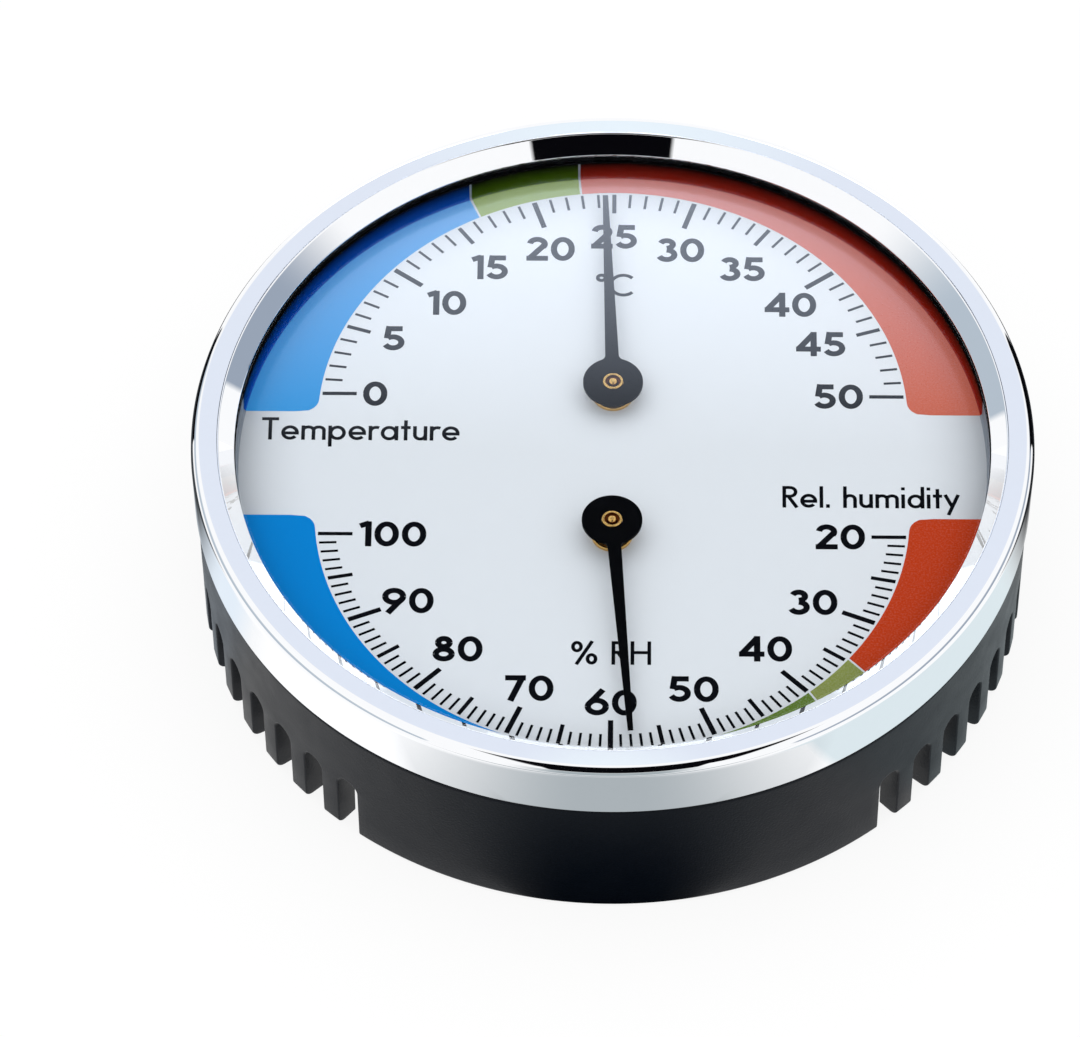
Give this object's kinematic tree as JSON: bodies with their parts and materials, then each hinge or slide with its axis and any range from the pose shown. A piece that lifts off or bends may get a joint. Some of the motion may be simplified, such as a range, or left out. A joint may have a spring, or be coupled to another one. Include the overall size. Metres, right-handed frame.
{
  "type": "thermo-hygrometer",
  "caption": "Round dial thermo-hygrometer with a chrome bezel ring, a notched plastic housing, and a temperature pointer above a humidity pointer, each turned by a coil.",
  "frame": {"origin": "centre of the round case, on the plane of the skirt's lower rim", "axes": "+Z out of the dial along the case axis, +Y up the dial, +X to the reader's right"},
  "size_m": [0.102, 0.102, 0.0281],
  "materials": {
    "housing_plastic": "charcoal moulded plastic, finely textured",
    "chrome": "polished chrome plate",
    "clear_lens": "clear moulded window",
    "dial_enamel": "pale bluish white with printed scales",
    "pointer_black": "black lacquered sheet",
    "brass": "turned brass",
    "steel": "plain steel",
    "coil_laminate": "moisture-sensitive laminate strip"
  },
  "bodies": {
    "case": {"rear_housing": "housing_plastic", "back_plate": "housing_plastic", "back_screw_1": "steel", "back_screw_2": "steel", "back_screw_3": "steel", "bezel_ring": "chrome", "lens": "clear_lens", "dial_plate": "dial_enamel", "thermometer_dial_bush": "brass", "thermometer_bush_nut": "brass", "thermometer_bridge": "steel", "thermometer_rear_bearing": "brass", "thermometer_anchor_post": "steel", "bimetal_coil": "steel", "hygrometer_dial_bush": "brass", "hygrometer_bush_nut": "brass", "hygrometer_bridge": "steel"},
    "thermometer_hand": {"thermometer_pointer": "pointer_black", "thermometer_pointer_bush": "brass", "thermometer_arbor": "brass", "thermometer_collet": "brass"},
    "regulator": {"hygrometer_regulator": "brass", "regulator_pin": "steel", "regulator_clip": "steel", "humidity_coil": "coil_laminate"},
    "hygrometer_hand": {"hygrometer_pointer": "pointer_black", "hygrometer_pointer_bush": "brass", "hygrometer_arbor": "brass", "hygrometer_collet": "brass"}
  },
  "joints": [
    {"name": "thermometer_turn", "type": "hinge", "parent": "case", "child": "thermometer_hand", "pos_m": [0, 0.01086, 0.02188], "axis": [0, 0, 1], "range_deg": [-92.16, 87.84]},
    {"name": "regulator_turn", "type": "hinge", "parent": "case", "child": "regulator", "pos_m": [0, -0.01086, 0.01258], "axis": [0, 0, 1], "range_deg": [-20, 20]},
    {"name": "hygrometer_turn", "type": "hinge", "parent": "regulator", "child": "hygrometer_hand", "pos_m": [0, -0.01086, 0.02188], "axis": [0, 0, 1], "range_deg": [-94.5, 85.5]}
  ]
}
